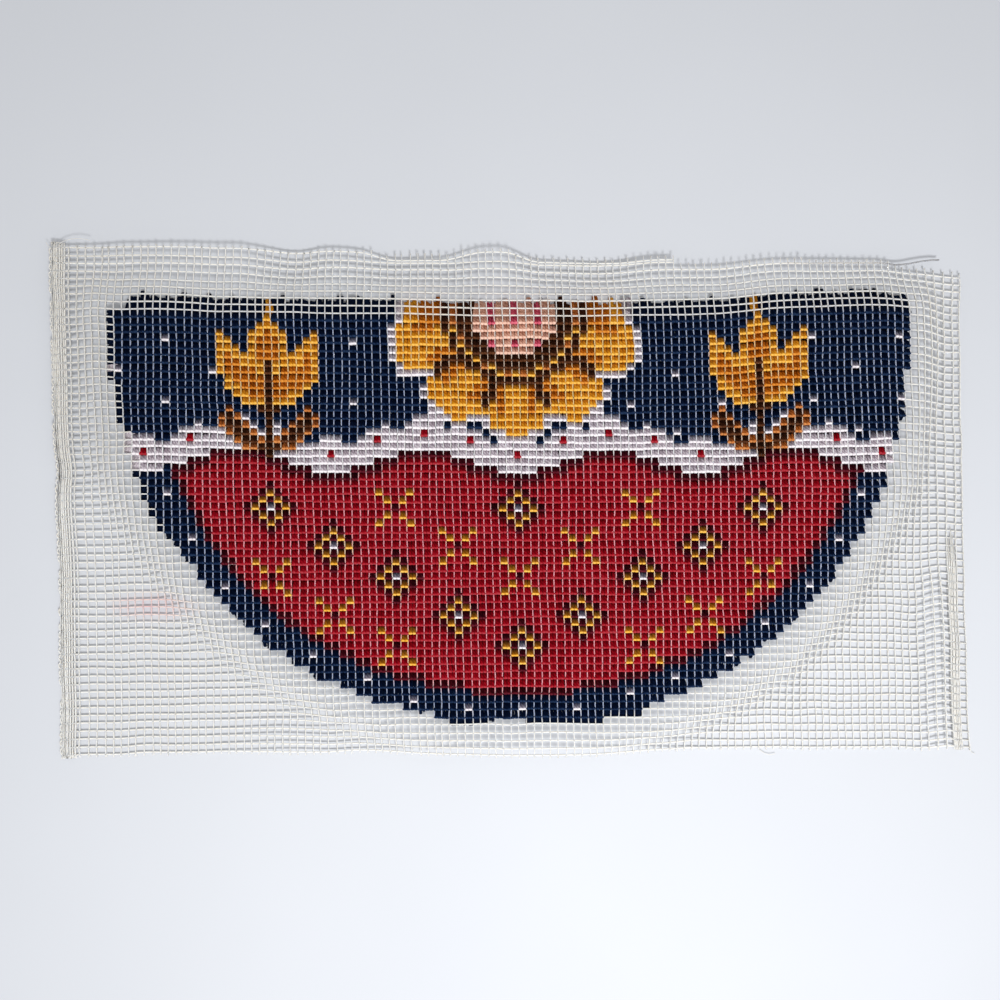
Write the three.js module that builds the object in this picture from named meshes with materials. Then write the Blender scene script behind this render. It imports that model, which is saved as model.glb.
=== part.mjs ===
// Latch hook wall hanging, half-round design, lying pile side down.
//
// An open rug canvas (leno mesh) carries a half-moon field of knotted yarn. The piece
// lies on its cut pile, so the canvas is uppermost, with the backs of the knots on it.
// The bare margins outside the field leave the pile edge and droop towards the surface.
//
// Units are millimetres, +Z up, +X along the straight side of the half-moon, +Y towards
// that straight side. The origin is the centre of the footprint, on the surface.
//
// The canvas is laid out in mesh cells: column c counts from the left selvage, row r
// counts from the upper raw edge. Both meshes are made from that grid.

import * as THREE from 'three';

// ---------------------------------------------------------------- driving dimensions
const MESH_PITCH = 25.4 / 3.75;      // rug canvas with 3.75 holes to the inch
const COLUMNS = 119;                 // canvas width in cells, selvage to selvage
const ROWS = 66;                     // canvas depth in cells, raw edge to raw edge
const CANVAS_THICKNESS = 1.8;        // two crossing threads of the mesh
const SKEW = -0.0227;                // the mesh lies about 1.3 degrees out of square
const WARP_ENDS_BELOW = 0.45;        // cut warp ends past the last weft, in cells

const FIELD_CENTRE_COLUMN = 59.6;    // knotted half-moon, in cells
const FIELD_FIRST_ROW = 8.5;
const FIELD_HALF_WIDTH = 53.0;
const FIELD_DEPTH = 55.2;
const FIELD_FULLNESS = 2.12;         // 2 is an ellipse, more is fuller

const PILE_HEIGHT = 15.0;            // underside of the canvas over the lying pile
const PILE_GAP = 0.6;                // pile to canvas inside the field
const EDGE_CLEARANCE = 2.9;          // pile to canvas where the canvas leaves the pile
const PILE_SPREAD_LEFT = 6.5;        // how far the tufts spread past their knots
const PILE_SPREAD_RIGHT = 3.5;
const PILE_SPREAD_BOTTOM = 4.0;
const DROOP_LENGTH = 42.0;           // run over which a margin comes down
const LOWEST = 0.35;                 // underside of the canvas where it lies on the surface

// Height of the canvas underside where a margin has come down, by column and row.
const RESTING = {
  columns: [0, 30, 60, 90, 119],
  rows: [0, 22, 44, 66],
  height: [
    [6.5, 8.0, 8.0, 7.0, 3.0],
    [6.0, 9.0, 12.0, 8.0, 2.2],
    [1.7, 1.7, 10.0, 1.3, 0.9],
    [1.0, 0.9, 3.8, 0.7, 0.6],
  ],
};

// Upper raw edge: which weft is the last one left there, and the height of the edge.
const UPPER_EDGE = [
  { column: 0, row: -0.2, height: 6.0 },
  { column: 10, row: -0.2, height: 9.5 },
  { column: 23, row: -0.2, height: 11.5 },
  { column: 31, row: 0.0, height: 4.5 },
  { column: 36, row: -0.2, height: 9.0 },
  { column: 44, row: 0.8, height: 5.0 },
  { column: 50, row: 0.7, height: 6.5 },
  { column: 57.5, row: -0.2, height: 12.5 },
  { column: 64, row: 0.8, height: 5.0 },
  { column: 71, row: 0.8, height: 3.2 },
  { column: 79, row: 0.8, height: 9.0 },
  { column: 83, row: 1.7, height: 8.0 },
  { column: 98, row: 1.7, height: 10.0 },
  { column: 108, row: 1.9, height: 7.5 },
  { column: 119, row: 2.3, height: 3.0 },
];

// Soft creases: a ridge (or trough, if negative) runs along a row or a column.
const CREASES = [
  { name: 'fold line across', along: 'row', at: 31.0, from: -6, to: 125, fade: 14, rise: 1.5, width: 3.2 },
  { name: 'left margin dent', along: 'row', at: 29.3, from: -4, to: 6, fade: 4, rise: -2.6, width: 1.5 },
  { name: 'right curl', along: 'column', at: 115.6, from: 41, to: 70, fade: 6, rise: 5.0, width: 1.4 },
  { name: 'lower right crease', along: 'column', at: 95.5, from: 50, to: 63, fade: 4, rise: 1.8, width: 1.2 },
  { name: 'lower left wave', along: 'column', at: 29.5, from: 60, to: 70, fade: 4, rise: 3.5, width: 4.5 },
  { name: 'lower middle wave', along: 'column', at: 62.0, from: 63, to: 70, fade: 3, rise: 2.0, width: 6.0 },
  { name: 'field roll left', along: 'column', at: 34.0, from: 14, to: 48, fade: 8, rise: -0.9, width: 7.0 },
  { name: 'field roll right', along: 'column', at: 84.0, from: 12, to: 46, fade: 8, rise: 0.9, width: 8.0 },
];

// The wefts bow a little in the plane of the cloth near the straight side.
const WEFT_BOW = [
  { column: 0, shift: 0.0 },
  { column: 11, shift: 1.0 },
  { column: 30, shift: -1.6 },
  { column: 58, shift: -3.0 },
  { column: 72, shift: -2.8 },
  { column: 85, shift: -0.6 },
  { column: 97, shift: 4.0 },
  { column: 108, shift: 6.4 },
  { column: 113, shift: 4.6 },
  { column: 119, shift: 0.5 },
];
const WEFT_BOW_ROW = 6;              // the bow is full above this row
const WEFT_BOW_FADE = 34;            // and dies out over this many rows
const SELVAGE_PULL = { column: 116.3, width: 1.5, row: 52, depth: 13, shift: 4.0 };

// ---------------------------------------------------------------- small helpers
const clamp = (x, lo, hi) => Math.min(hi, Math.max(lo, x));
const smooth = (t) => { const s = clamp(t, 0, 1); return s * s * (3 - 2 * s); };
const mix = (a, b, t) => a + (b - a) * t;

function along(table, key, value, x) {
  let i = 0;
  while (i < table.length - 2 && x > table[i + 1][key]) i += 1;
  const t = smooth((x - table[i][key]) / (table[i + 1][key] - table[i][key]));
  return mix(table[i][value], table[i + 1][value], t);
}

function restingHeight(c, r) {
  const pick = (stops, x) => {
    let i = 0;
    while (i < stops.length - 2 && x > stops[i + 1]) i += 1;
    return [i, smooth((x - stops[i]) / (stops[i + 1] - stops[i]))];
  };
  const [i, s] = pick(RESTING.columns, c);
  const [j, t] = pick(RESTING.rows, r);
  const h = RESTING.height;
  return mix(mix(h[j][i], h[j][i + 1], s), mix(h[j + 1][i], h[j + 1][i + 1], s), t);
}

// Half width of the knotted field at row r, in cells.
function fieldHalfWidth(r) {
  const t = clamp((r - FIELD_FIRST_ROW) / FIELD_DEPTH, 0, 1);
  return FIELD_HALF_WIDTH * Math.pow(1 - Math.pow(t, FIELD_FULLNESS), 1 / FIELD_FULLNESS);
}

// Distance outside the knotted field, in millimetres, 0 or less inside it.
function outside(c, r) {
  const dx = Math.abs(c - FIELD_CENTRE_COLUMN);
  if (r < FIELD_FIRST_ROW) {
    return Math.hypot(Math.max(dx - FIELD_HALF_WIDTH, 0), FIELD_FIRST_ROW - r) * MESH_PITCH;
  }
  const a = dx / FIELD_HALF_WIDTH;
  const b = (r - FIELD_FIRST_ROW) / FIELD_DEPTH;
  const f = Math.pow(Math.pow(a, FIELD_FULLNESS) + Math.pow(b, FIELD_FULLNESS), 1 / FIELD_FULLNESS);
  return (f - 1) * FIELD_HALF_WIDTH * MESH_PITCH;
}

function crease(c, r) {
  let z = 0;
  for (const k of CREASES) {
    const across = k.along === 'row' ? r - k.at : c - k.at;
    const run = k.along === 'row' ? c : r;
    const inRun = smooth((run - k.from) / k.fade) * smooth((k.to - run) / k.fade);
    z += k.rise * inRun * Math.exp(-0.5 * (across / k.width) ** 2);
  }
  return z;
}

// Height of the canvas underside over the surface.
function canvasHeight(c, r) {
  const t = clamp(outside(c, r) / DROOP_LENGTH, 0, 1);
  let low = restingHeight(c, r);
  if (r < FIELD_FIRST_ROW) {
    const edgeRow = along(UPPER_EDGE, 'column', 'row', c);
    const edge = along(UPPER_EDGE, 'column', 'height', c);
    low = mix(low, edge, smooth((FIELD_FIRST_ROW - r) / (FIELD_FIRST_ROW - edgeRow)));
  }
  const z = mix(PILE_HEIGHT, low, smooth(t)) + crease(c, r);
  return Math.max(z, LOWEST);
}

// Length of cloth is kept: where it slopes, its plan is shorter.
const STEP = 0.5;
function planLength(from, to, heightAt) {
  const n = Math.max(1, Math.ceil(Math.abs(to - from) / STEP));
  const d = (to - from) / n;
  let sum = 0;
  for (let i = 0; i < n; i += 1) {
    const rise = (heightAt(from + (i + 1) * d) - heightAt(from + i * d)) / (d * MESH_PITCH);
    sum += d * Math.sqrt(Math.max(0.2, 1 - rise * rise));
  }
  return sum;
}

// Plan position of the mesh crossing (c, r), before centring.
function plan(c, r) {
  const c0 = COLUMNS / 2;
  const r0 = ROWS / 2;
  const u = planLength(c0, c, (x) => canvasHeight(x, r)) * MESH_PITCH;
  const v = -planLength(r0, r, (y) => canvasHeight(c, y)) * MESH_PITCH;
  const bow = along(WEFT_BOW, 'column', 'shift', c) * (1 - smooth((r - WEFT_BOW_ROW) / WEFT_BOW_FADE));
  const p = SELVAGE_PULL;
  const pull = p.shift * Math.exp(-0.5 * ((c - p.column) / p.width) ** 2)
    * Math.exp(-0.5 * ((r - p.row) / p.depth) ** 2);
  return [u + SKEW * v, v + bow + pull];
}

// ---------------------------------------------------------------- canvas sheet
// Grid lines are closer together where the cloth bends more.
const CANVAS_COLUMN_STOPS = [
  { upTo: 0, step: 1 }, { upTo: 8, step: 2.0 }, { upTo: 26, step: 3.0 }, { upTo: 80, step: 2.7 },
  { upTo: 110, step: 3.0 }, { upTo: 119, step: 1.0 },
];
const CANVAS_ROW_STOPS = [
  { upTo: 0, step: 1 }, { upTo: 10, step: 1.67 }, { upTo: 26, step: 4.0 }, { upTo: 38, step: 2.0 },
  { upTo: 50, step: 3.0 }, { upTo: 66, step: 2.3 },
];
function gridStops(stops) {
  const out = [stops[0].upTo];
  for (let i = 1; i < stops.length; i += 1) {
    const span = stops[i].upTo - stops[i - 1].upTo;
    const n = Math.max(1, Math.round(span / stops[i].step));
    for (let k = 1; k <= n; k += 1) out.push(stops[i - 1].upTo + (span * k) / n);
  }
  return out;
}

function canvasPoints() {
  const cs = gridStops(CANVAS_COLUMN_STOPS);
  const rs = gridStops(CANVAS_ROW_STOPS);
  return cs.map((c) => rs.map((r) => {
    // The first rows follow the frayed upper edge, the last row takes in the warp ends.
    const edge = along(UPPER_EDGE, 'column', 'row', c);
    const row = r < 10 ? mix(edge, 10, r / 10)
      : r + WARP_ENDS_BELOW * clamp((r - 60) / 6, 0, 1);
    const [x, y] = plan(c, row);
    return { x, y, z: canvasHeight(c, row) };
  }));
}

function sheetGeometry(points, thickness) {
  const nc = points.length;
  const nr = points[0].length;
  const position = [];
  const index = [];
  const id = (i, j, top) => (i * nr + j) * 2 + (top ? 1 : 0);
  for (const column of points) {
    for (const p of column) position.push(p.x, p.y, p.z, p.x, p.y, p.z + thickness);
  }
  const quad = (a, b, c, d) => index.push(a, b, c, a, c, d);
  for (let i = 0; i < nc - 1; i += 1) {
    for (let j = 0; j < nr - 1; j += 1) {
      quad(id(i, j, true), id(i, j + 1, true), id(i + 1, j + 1, true), id(i + 1, j, true));
      quad(id(i, j, false), id(i + 1, j, false), id(i + 1, j + 1, false), id(i, j + 1, false));
    }
  }
  for (let i = 0; i < nc - 1; i += 1) {
    quad(id(i, 0, false), id(i, 0, true), id(i + 1, 0, true), id(i + 1, 0, false));
    quad(id(i, nr - 1, false), id(i + 1, nr - 1, false), id(i + 1, nr - 1, true), id(i, nr - 1, true));
  }
  for (let j = 0; j < nr - 1; j += 1) {
    quad(id(0, j, false), id(0, j + 1, false), id(0, j + 1, true), id(0, j, true));
    quad(id(nc - 1, j, false), id(nc - 1, j, true), id(nc - 1, j + 1, true), id(nc - 1, j + 1, false));
  }
  const g = new THREE.BufferGeometry();
  g.setAttribute('position', new THREE.Float32BufferAttribute(position, 3));
  g.setIndex(index);
  g.computeVertexNormals();
  return g;
}

// ---------------------------------------------------------------- cut pile
// Sections across the pile, from the tips that lean out past the straight side to the
// bottom of the half-moon. Each is flat on the surface and up to the canvas inside.
const PILE_SECTIONS = [
  { row: 5.1, top: 2.6, narrow: 3.0 },
  { row: 5.5, top: 4.6, narrow: 1.2 },
  { row: 6.6, top: 7.6, narrow: 0.3 },
  { row: 7.8, top: 10.6, narrow: 0.0 },
  { row: 8.8, top: null, narrow: 0.0 },
  { row: 11, top: null, narrow: 0.0 },
  { row: 15, top: null, narrow: 0.0 },
  { row: 20, top: null, narrow: 0.0 },
  { row: 25, top: null, narrow: 0.0 },
  { row: 28.5, top: null, narrow: 0.0 },
  { row: 31, top: null, narrow: 0.0 },
  { row: 33.5, top: null, narrow: 0.0 },
  { row: 37, top: null, narrow: 0.0 },
  { row: 42, top: null, narrow: 0.0 },
  { row: 46.5, top: null, narrow: 0.0 },
  { row: 50.5, top: null, narrow: 0.0 },
  { row: 54, top: null, narrow: 0.0 },
  { row: 57, top: null, narrow: 0.0 },
  { row: 59.5, top: null, narrow: 0.0 },
  { row: 61.5, top: null, narrow: 0.0 },
  { row: 62.9, top: null, narrow: 0.0 },
  { row: 63.7, top: 6.4, narrow: 1.0 },
  { row: 64.1, top: 2.8, narrow: 4.0 },
];
const PILE_ACROSS = 22;
const PILE_SIDE = [
  { level: 0.16, out: 1.0 },
  { level: 0.55, out: 0.75 },
];

function pileGeometry() {
  const rings = PILE_SECTIONS.map(({ row, top, narrow }) => {
    const half = fieldHalfWidth(Math.min(row, 63.2)) - narrow;
    const taper = clamp((64.5 - row) / 6, 0.35, 1);
    const left = FIELD_CENTRE_COLUMN - half;
    const right = FIELD_CENTRE_COLUMN + half;
    const rowDown = row > 60 ? (PILE_SPREAD_BOTTOM / MESH_PITCH) * clamp((row - 60) / 4, 0, 1) : 0;
    const at = (c, z) => { const [x, y] = plan(c, row + rowDown); return [x, y, z]; };
    const edgeTop = (c) => {
      const free = canvasHeight(c, row + rowDown) - EDGE_CLEARANCE;
      return top === null ? free : Math.min(top, free);
    };
    const floor = [];
    const crown = [];
    for (let i = 0; i <= PILE_ACROSS; i += 1) {
      // closer together near the two sides
      const t = i / PILE_ACROSS;
      const s = t - 0.09 * Math.sin(2 * Math.PI * t);
      const c = mix(left, right, s);
      const inner = Math.min(c - left, right - c) * MESH_PITCH;
      const full = canvasHeight(c, row + rowDown) - mix(EDGE_CLEARANCE, PILE_GAP, smooth(inner / 34));
      const z = top === null ? full : Math.min(top, full);
      crown.push(at(c, z));
      floor.push(at(c, 0));
    }
    const side = (c, spread, sign) => PILE_SIDE.map(({ level, out }) => {
      const p = at(c, edgeTop(c) * level);
      return [p[0] + sign * spread * taper * out, p[1], p[2]];
    });
    const leftSide = side(left, PILE_SPREAD_LEFT, -1);
    const rightSide = side(right, PILE_SPREAD_RIGHT, 1);
    floor[0][0] -= PILE_SPREAD_LEFT * taper * 0.6;
    floor[PILE_ACROSS][0] += PILE_SPREAD_RIGHT * taper * 0.6;
    return { floor, crown, leftSide, rightSide };
  });

  const position = [];
  const index = [];
  const push = (p) => { position.push(...p); return position.length / 3 - 1; };
  const ids = rings.map((ring) => ({
    floor: ring.floor.map(push),
    crown: ring.crown.map(push),
    leftSide: ring.leftSide.map(push),
    rightSide: ring.rightSide.map(push),
  }));
  // loop of one section: floor left to right, up the right side, crown back, down the left
  const loop = (s) => [...s.floor, ...s.rightSide, ...s.crown.slice().reverse(), ...s.leftSide.slice().reverse()];
  for (let k = 0; k < ids.length - 1; k += 1) {
    const a = loop(ids[k]);
    const b = loop(ids[k + 1]);
    for (let i = 0; i < a.length; i += 1) {
      const j = (i + 1) % a.length;
      index.push(a[i], a[j], b[j], a[i], b[j], b[i]);
    }
  }
  const cap = (s, front) => {
    const tri = (x, y, z) => (front ? index.push(x, z, y) : index.push(x, y, z));
    for (let i = 0; i < PILE_ACROSS; i += 1) {
      tri(s.floor[i], s.floor[i + 1], s.crown[i + 1]);
      tri(s.floor[i], s.crown[i + 1], s.crown[i]);
    }
    const fan = (low, mids, high, flip) => {
      let last = low;
      for (const m of [...mids.slice(1), high]) {
        const first = mids[0];
        if (last === low) { if (flip) tri(low, m, first); else tri(low, first, m); last = m; } else {
          if (flip) tri(low, m, last); else tri(low, last, m); last = m;
        }
      }
    };
    fan(s.floor[PILE_ACROSS], s.rightSide, s.crown[PILE_ACROSS], false);
    fan(s.floor[0], s.leftSide, s.crown[0], true);
  };
  cap(ids[0], true);
  cap(ids[ids.length - 1], false);

  const g = new THREE.BufferGeometry();
  g.setAttribute('position', new THREE.Float32BufferAttribute(position, 3));
  g.setIndex(index);
  g.computeVertexNormals();
  return g;
}

// ---------------------------------------------------------------- assembly
const canvas = new THREE.Mesh(
  sheetGeometry(canvasPoints(), CANVAS_THICKNESS),
  new THREE.MeshStandardMaterial({ color: 0xe6e3da, roughness: 0.9, metalness: 0 }),
);
canvas.name = 'canvas';

const pile = new THREE.Mesh(
  pileGeometry(),
  new THREE.MeshStandardMaterial({ color: 0xa01e32, roughness: 0.95, metalness: 0 }),
);
pile.name = 'pile';

// Centre the footprint on the origin, on the surface.
const box = new THREE.Box3().setFromObject(canvas).union(new THREE.Box3().setFromObject(pile));
const centre = box.getCenter(new THREE.Vector3());
for (const mesh of [canvas, pile]) mesh.position.set(-centre.x, -centre.y, -box.min.z);

const hanging = new THREE.Group();
hanging.add(canvas, pile);
export default hanging;
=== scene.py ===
"""Looks of the half-round latch hook wall hanging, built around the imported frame.

The piece lies on its cut pile, so the rug canvas and the backs of the knots are on top.
Every thread of the canvas and both strands of every knot are modelled as joined tubes.
Lengths are in millimetres up to the moment a mesh is made, then metres.
"""

import math

import bpy
import numpy as np
from mathutils import Matrix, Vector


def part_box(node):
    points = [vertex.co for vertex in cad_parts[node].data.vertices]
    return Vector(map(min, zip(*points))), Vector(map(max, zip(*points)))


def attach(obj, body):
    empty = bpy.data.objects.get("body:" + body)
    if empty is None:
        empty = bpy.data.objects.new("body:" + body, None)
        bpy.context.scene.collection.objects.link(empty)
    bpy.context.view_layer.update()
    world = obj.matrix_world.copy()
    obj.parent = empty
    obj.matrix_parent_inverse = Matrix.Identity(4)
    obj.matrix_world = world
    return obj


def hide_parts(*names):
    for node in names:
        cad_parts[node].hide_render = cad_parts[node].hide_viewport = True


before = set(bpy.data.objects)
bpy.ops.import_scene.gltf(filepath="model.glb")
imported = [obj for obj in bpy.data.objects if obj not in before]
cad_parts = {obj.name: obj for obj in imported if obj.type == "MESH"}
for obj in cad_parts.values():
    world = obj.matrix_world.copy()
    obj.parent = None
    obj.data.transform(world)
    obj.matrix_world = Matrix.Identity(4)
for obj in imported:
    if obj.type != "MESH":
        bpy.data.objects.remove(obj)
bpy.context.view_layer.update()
RNG = np.random.default_rng(4108)

# ------------------------------------------------------------------ the lying cloth
# The same surface as the CAD canvas: column c from the left selvage, row r from the
# upper raw edge, both in mesh cells.
PITCH = 25.4 / 3.75
COLUMNS, ROWS = 119, 66
THICK = 1.8
SKEW = -0.0227
FIELD_C, FIELD_R, FIELD_W, FIELD_D, FIELD_N = 59.6, 8.5, 53.0, 55.2, 2.12
PILE_H, DROOP = 15.0, 42.0
REST_C = np.array([0.0, 30, 60, 90, 119])
REST_R = np.array([0.0, 22, 44, 66])
REST_H = np.array([
    [6.5, 8.0, 8.0, 7.0, 3.0],
    [6.0, 9.0, 12.0, 8.0, 2.2],
    [1.7, 1.7, 10.0, 1.3, 0.9],
    [1.0, 0.9, 3.8, 0.7, 0.6],
])
# column, row of the raw edge, height of the edge
UPPER = np.array([
    (0, -0.2, 6.0), (10, -0.2, 9.5), (23, -0.2, 11.5), (31, 0.0, 4.5), (36, -0.2, 9.0),
    (44, 0.8, 5.0), (50, 0.7, 6.5), (57.5, -0.2, 12.5), (64, 0.8, 5.0), (71, 0.8, 3.2),
    (79, 0.8, 9.0), (83, 1.7, 8.0), (98, 1.7, 10.0), (108, 1.9, 7.5), (119, 2.3, 3.0),
])
# along, at, from, to, fade, rise, width
CREASES = [
    ("row", 31.0, -6, 125, 14, 1.5, 3.2), ("row", 29.3, -4, 6, 4, -2.6, 1.5),
    ("column", 115.6, 41, 70, 6, 5.0, 1.4), ("column", 95.5, 50, 63, 4, 1.8, 1.2),
    ("column", 29.5, 60, 70, 4, 3.5, 4.5), ("column", 62.0, 63, 70, 3, 2.0, 6.0),
    ("column", 34.0, 14, 48, 8, -0.9, 7.0), ("column", 84.0, 12, 46, 8, 0.9, 8.0),
]
BOW = np.array([
    (0, 0), (11, 1.0), (30, -1.6), (58, -3.0), (72, -2.8), (85, -0.6), (97, 4.0),
    (108, 6.4), (113, 4.6), (119, 0.5),
])
BOW_ROW, BOW_FADE = 6, 34
# the knots themselves keep about a cell inside the pile's outline: centre column, half
# width, first row, depth, and the fullness of the curve to the left and to the right
KNOT_C, KNOT_W, KNOT_R, KNOT_D, KNOT_N = 60.0, 52.0, 8.5, 53.4, (2.2, 2.08)
PULL_C, PULL_W, PULL_R, PULL_D, PULL_S = 116.3, 1.5, 52, 13, 4.0
STEP = 0.25


def smooth(t):
    s = np.clip(t, 0, 1)
    return s * s * (3 - 2 * s)


def along(xs, ys, x):
    i = np.clip(np.searchsorted(xs, x, "left") - 1, 0, len(xs) - 2)
    t = smooth((x - xs[i]) / (xs[i + 1] - xs[i]))
    return ys[i] * (1 - t) + ys[i + 1] * t


def resting(c, r):
    def pick(stops, x):
        i = np.clip(np.searchsorted(stops, x, "left") - 1, 0, len(stops) - 2)
        return i, smooth((x - stops[i]) / (stops[i + 1] - stops[i]))

    i, s = pick(REST_C, c)
    j, t = pick(REST_R, r)
    a = REST_H[j, i] * (1 - s) + REST_H[j, i + 1] * s
    b = REST_H[j + 1, i] * (1 - s) + REST_H[j + 1, i + 1] * s
    return a * (1 - t) + b * t


def outside(c, r):
    """Millimetres outside the knotted field, 0 or less inside it."""
    dx = np.abs(c - FIELD_C)
    up = np.hypot(np.maximum(dx - FIELD_W, 0), np.maximum(FIELD_R - r, 0)) * PITCH
    f = ((dx / FIELD_W) ** FIELD_N + (np.maximum(r - FIELD_R, 0) / FIELD_D) ** FIELD_N) ** (1 / FIELD_N)
    return np.where(r < FIELD_R, up, (f - 1) * FIELD_W * PITCH)


def edge_row(c):
    return along(UPPER[:, 0], UPPER[:, 1], c)


def sheet_height(c, r):
    t = np.clip(outside(c, r) / DROOP, 0, 1)
    low = resting(c, r)
    share = smooth((FIELD_R - r) / (FIELD_R - edge_row(c)))
    edge = along(UPPER[:, 0], UPPER[:, 2], c)
    low = np.where(r < FIELD_R, low * (1 - share) + edge * share, low)
    z = PILE_H * (1 - smooth(t)) + low * smooth(t)
    for way, at, start, end, fade, rise, width in CREASES:
        across, run = (r - at, c) if way == "row" else (c - at, r)
        within = smooth((run - start) / fade) * smooth((end - run) / fade)
        z = z + rise * within * np.exp(-0.5 * (across / width) ** 2)
    return np.maximum(z, 0.35)


LATTICE_C = np.arange(-3, COLUMNS + 3 + STEP / 2, STEP)
LATTICE_R = np.arange(-3, ROWS + 3 + STEP / 2, STEP)
HEIGHT = sheet_height(*np.meshgrid(LATTICE_C, LATTICE_R, indexing="ij"))


def run_length(axis, origin):
    slope = np.diff(HEIGHT, axis=axis) / (STEP * PITCH)
    steps = STEP * np.sqrt(np.maximum(0.2, 1 - slope * slope))
    total = np.cumsum(steps, axis=axis)
    total = np.concatenate([np.zeros_like(np.take(HEIGHT, [0], axis=axis)), total], axis=axis)
    return total - np.take(total, [origin], axis=axis)


PLAN_U = run_length(0, int(round((COLUMNS / 2 - LATTICE_C[0]) / STEP))) * PITCH
PLAN_V = -run_length(1, int(round((ROWS / 2 - LATTICE_R[0]) / STEP))) * PITCH
bow = along(BOW[:, 0], BOW[:, 1], LATTICE_C)[:, None] * (1 - smooth((LATTICE_R - BOW_ROW) / BOW_FADE))[None, :]
pull = PULL_S * np.exp(-0.5 * ((LATTICE_C - PULL_C) / PULL_W) ** 2)[:, None] * np.exp(
    -0.5 * ((LATTICE_R - PULL_R) / PULL_D) ** 2)[None, :]
LATTICE = np.stack([PLAN_U + SKEW * PLAN_V, PLAN_V + bow + pull, HEIGHT + THICK / 2], -1)


def lattice_at(grid, c, r):
    x = np.clip((np.asarray(c, float) - LATTICE_C[0]) / STEP, 0, len(LATTICE_C) - 1.001)
    y = np.clip((np.asarray(r, float) - LATTICE_R[0]) / STEP, 0, len(LATTICE_R) - 1.001)
    i, j = x.astype(int), y.astype(int)
    s, t = (x - i)[..., None], (y - j)[..., None]
    return (grid[i, j] * (1 - s) + grid[i + 1, j] * s) * (1 - t) + (
        grid[i, j + 1] * (1 - s) + grid[i + 1, j + 1] * s) * t


def unit(v):
    return v / np.maximum(np.linalg.norm(v, axis=-1, keepdims=True), 1e-9)


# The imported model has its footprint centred, so the plan is shifted onto the CAD canvas.
edge_c = np.linspace(0, COLUMNS, 500)
edge_r = np.linspace(0, ROWS + 0.45, 400)
rim = np.concatenate([
    lattice_at(LATTICE, edge_c, edge_row(edge_c)), lattice_at(LATTICE, edge_c, edge_c * 0 + ROWS + 0.45),
    lattice_at(LATTICE, edge_r * 0, edge_r), lattice_at(LATTICE, edge_r * 0 + COLUMNS, np.maximum(edge_r, 2.3)),
])
box_low, box_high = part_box("canvas")
SHIFT = np.array([
    (box_low[0] + box_high[0]) * 500 - (rim[:, 0].min() + rim[:, 0].max()) / 2,
    (box_low[1] + box_high[1]) * 500 - (rim[:, 1].min() + rim[:, 1].max()) / 2, 0.0])
LATTICE = LATTICE + SHIFT

# Small seeded unevenness of the mesh, in cells: smooth noise over a few cells, plus a
# little of its own for each thread.


def smooth_noise(shape, cells, seed):
    """Smooth random grid of about unit spread, its lumps about this many cells wide."""
    rng = np.random.default_rng(seed)
    n = [int(math.ceil(s * STEP / cells)) + 3 for s in shape]
    coarse = rng.normal(0, 1, n)
    out = coarse
    for axis, size in enumerate(shape):
        x = np.arange(size) * STEP / cells
        i = x.astype(int)
        t = smooth(x - i)
        t = t[:, None] if axis == 0 else t[None, :]
        out = np.take(out, i, axis) * (1 - t) + np.take(out, i + 1, axis) * t
    return out


SHAPE = HEIGHT.shape
# the top rows hang a little lower than an even mesh would, and the columns at the upper
# right lean in
low_c = smooth((LATTICE_C - 5) / 4) * (1 - smooth((LATTICE_C - 78) / 18))
low_r = smooth(LATTICE_R / 6.0) * (1 - smooth((LATTICE_R - 12) / 20))
sag = 0.36 * low_c[:, None] * low_r[None, :]
lean = -0.32 * smooth((LATTICE_C - 96) / 12)[:, None] * (1 - smooth((LATTICE_C - 113) / 5))[:, None] * (
    1 - smooth((LATTICE_R - 16) / 12))[None, :]
# the outermost columns are pulled outward a little
outward = 0.75 * smooth((LATTICE_C - 114.5) / 4) - 0.55 * (1 - smooth(LATTICE_C / 5))
drift_c = 0.050 * smooth_noise(SHAPE, 3.1, 11) + 0.055 * smooth_noise(SHAPE, 8.0, 12)
drift_r = 0.045 * smooth_noise(SHAPE, 3.4, 13) + 0.055 * smooth_noise(SHAPE, 9.0, 14)
DRIFT = np.stack([drift_c + lean + outward[:, None], drift_r + sag], -1)


def cloth_frame(c, r):
    """Mid-plane point, the way along a weft, the way up a warp, and the normal."""
    d = lattice_at(DRIFT, c, r)
    c, r = c + d[..., 0], r + d[..., 1]
    p = lattice_at(LATTICE, c, r)
    x = unit(lattice_at(LATTICE, c + 0.3, r) - lattice_at(LATTICE, c - 0.3, r))
    y = unit(lattice_at(LATTICE, c, r - 0.3) - lattice_at(LATTICE, c, r + 0.3))
    return p, x, y, unit(np.cross(x, y))


# ------------------------------------------------------------------ camera
FOCAL_PX, DISTANCE = 780.0, 701.8
TURN_A, TURN_B, TURN_G = (math.radians(v) for v in (-1.478, 0.467, 0.038))
AIM = np.array([-15.57, 1.37])


def turned(axis, angle):
    return np.array(Matrix.Rotation(angle, 3, axis))


view = turned("Y", TURN_A) @ turned("X", TURN_B) @ turned("Z", TURN_G)
place = np.array([AIM[0], AIM[1], 0.0]) + SHIFT + view[:, 2] * DISTANCE
camera_data = bpy.data.cameras.new("camera")
camera_data.sensor_width = 36.0
camera_data.lens = FOCAL_PX / 1000 * 36.0
camera_data.clip_start, camera_data.clip_end = 0.05, 20
camera = bpy.data.objects.new("camera", camera_data)
pose = Matrix([list(view[i]) + [place[i] / 1000] for i in range(3)] + [[0, 0, 0, 1]])
camera.matrix_world = pose
bpy.context.scene.collection.objects.link(camera)
bpy.context.scene.camera = camera


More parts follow.
